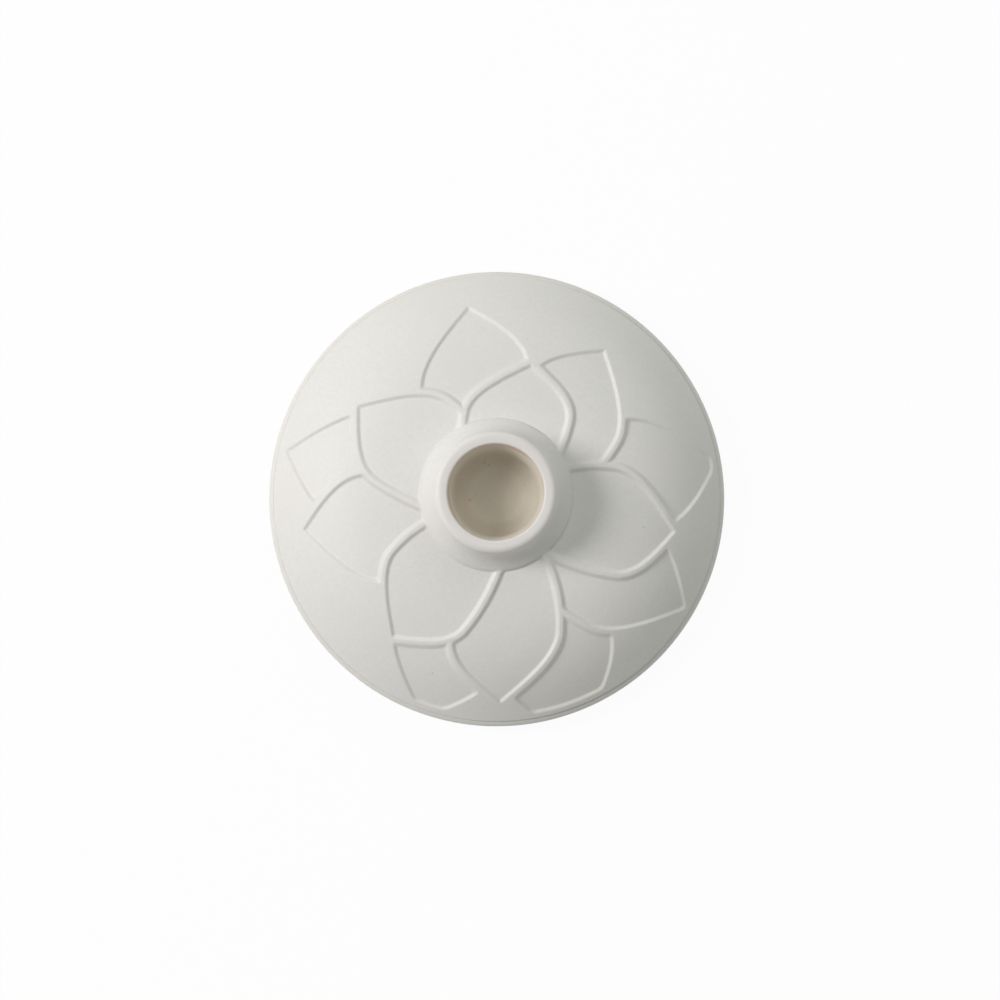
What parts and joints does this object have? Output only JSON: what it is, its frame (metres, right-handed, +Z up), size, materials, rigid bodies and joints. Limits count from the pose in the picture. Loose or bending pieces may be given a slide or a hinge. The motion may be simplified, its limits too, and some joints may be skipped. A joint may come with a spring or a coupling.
{
  "type": "candlestick",
  "caption": "Low round porcelain candlestick: a shallow dome with a flared collar and a socket for a taper candle, on a base dish with felt pads.",
  "frame": {"origin": "on the turning axis, at the table, under the felt pads", "axes": "+Z up along the turning axis, out of the candle socket's mouth; +X and +Y between the felt pads"},
  "size_m": [0.1116, 0.1116, 0.033],
  "materials": {
    "bisque_porcelain": "matte",
    "socket_lining": "satin",
    "felt": "matte"
  },
  "bodies": {
    "root": {"dome": "bisque_porcelain", "candle_cup": "socket_lining", "base_dish": "bisque_porcelain", "felt_pad_1": "felt", "felt_pad_2": "felt", "felt_pad_3": "felt", "felt_pad_4": "felt"}
  },
  "joints": []
}
